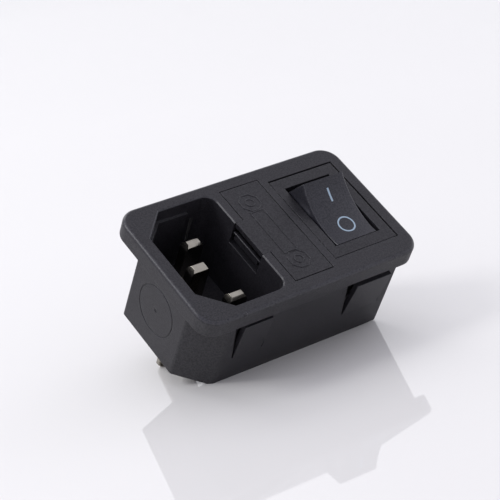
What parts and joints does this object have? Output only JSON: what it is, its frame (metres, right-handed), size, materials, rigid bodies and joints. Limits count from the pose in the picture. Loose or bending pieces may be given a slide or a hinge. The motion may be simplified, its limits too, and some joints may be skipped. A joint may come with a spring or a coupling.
{
  "type": "fused power entry module",
  "caption": "Panel power entry module with a recessed inlet, a pull-out fuse drawer and a rocker switch in one snap-in housing.",
  "frame": {"origin": "centre of the rear seating face of the flange, where it meets the panel", "axes": "+Z out of the front face towards the user, +X along the long side from the inlet to the rocker switch, +Y towards the far long side; the rest pose has the rocker pressed at -Y (off) and the drawer shut"},
  "size_m": [0.05, 0.0298, 0.0334],
  "materials": {
    "housing_plastic": "moulded glass-filled polyamide, fine matte grain",
    "drawer_plastic": "moulded polyamide, matte",
    "switch_plastic": "moulded polyamide, matte",
    "rocker_plastic": "moulded, satin, with printed marks",
    "plunger_plastic": "natural acetal",
    "nickel_brass": "nickel-plated brass",
    "bare_brass": "stamped brass strip",
    "contact_silver": "silver alloy rivet",
    "spring_steel": "drawn spring wire",
    "fuse_glass": "clear drawn glass tube",
    "fuse_element": "tinned copper wire"
  },
  "bodies": {
    "housing": {"housing": "housing_plastic", "earth_pin": "nickel_brass", "neutral_pin": "nickel_brass", "line_pin": "nickel_brass", "line_link": "bare_brass", "fuse_contact_line": "bare_brass", "fuse_contact_load": "bare_brass", "switch_body": "switch_plastic", "common_terminal_1": "bare_brass", "common_terminal_2": "bare_brass", "fixed_terminal_1": "bare_brass", "fixed_terminal_2": "bare_brass", "fixed_contact_1": "contact_silver", "fixed_contact_2": "contact_silver"},
    "drawer": {"fuse_drawer": "drawer_plastic", "fuse_tube": "fuse_glass", "fuse_cap_near": "nickel_brass", "fuse_cap_far": "nickel_brass", "fuse_wire": "fuse_element"},
    "rocker": {"rocker": "rocker_plastic", "plunger_spring_1": "spring_steel", "plunger_spring_2": "spring_steel"},
    "plunger_1": {"plunger_1": "plunger_plastic"},
    "plunger_2": {"plunger_2": "plunger_plastic"},
    "lever_1": {"contact_lever_1": "bare_brass", "lever_contact_1": "contact_silver"},
    "lever_2": {"contact_lever_2": "bare_brass", "lever_contact_2": "contact_silver"}
  },
  "joints": [
    {"name": "drawer_slide", "type": "slide", "parent": "housing", "child": "drawer", "axis": [0, 0, 1], "range_m": [0, 0.02]},
    {"name": "rocker_pivot", "type": "hinge", "parent": "housing", "child": "rocker", "pos_m": [0.01432, 0, 0.00042], "axis": [-1, 0, 0], "range_deg": [0, 36.2]},
    {"name": "plunger_1_slide", "type": "slide", "parent": "rocker", "child": "plunger_1", "axis": [0, -0.3107, 0.9505], "range_m": [0, 0.0004], "stiffness_N_per_m": 200, "springref_m": -0.0002, "deforming": ["plunger_spring_1"]},
    {"name": "plunger_2_slide", "type": "slide", "parent": "rocker", "child": "plunger_2", "axis": [0, -0.3107, 0.9505], "range_m": [0, 0.0004], "stiffness_N_per_m": 200, "springref_m": -0.0002, "deforming": ["plunger_spring_2"]},
    {"name": "lever_1_pivot", "type": "hinge", "parent": "housing", "child": "lever_1", "pos_m": [0.01172, 0, -0.0064], "axis": [1, 0, 0], "range_deg": [0, 16.1]},
    {"name": "lever_2_pivot", "type": "hinge", "parent": "housing", "child": "lever_2", "pos_m": [0.01692, 0, -0.0064], "axis": [1, 0, 0], "range_deg": [0, 16.1]}
  ],
  "couplings": [
    {"joint": "lever_1_pivot", "follows": "rocker_pivot", "ratio": 0.44199},
    {"joint": "lever_2_pivot", "follows": "rocker_pivot", "ratio": 0.44199}
  ]
}
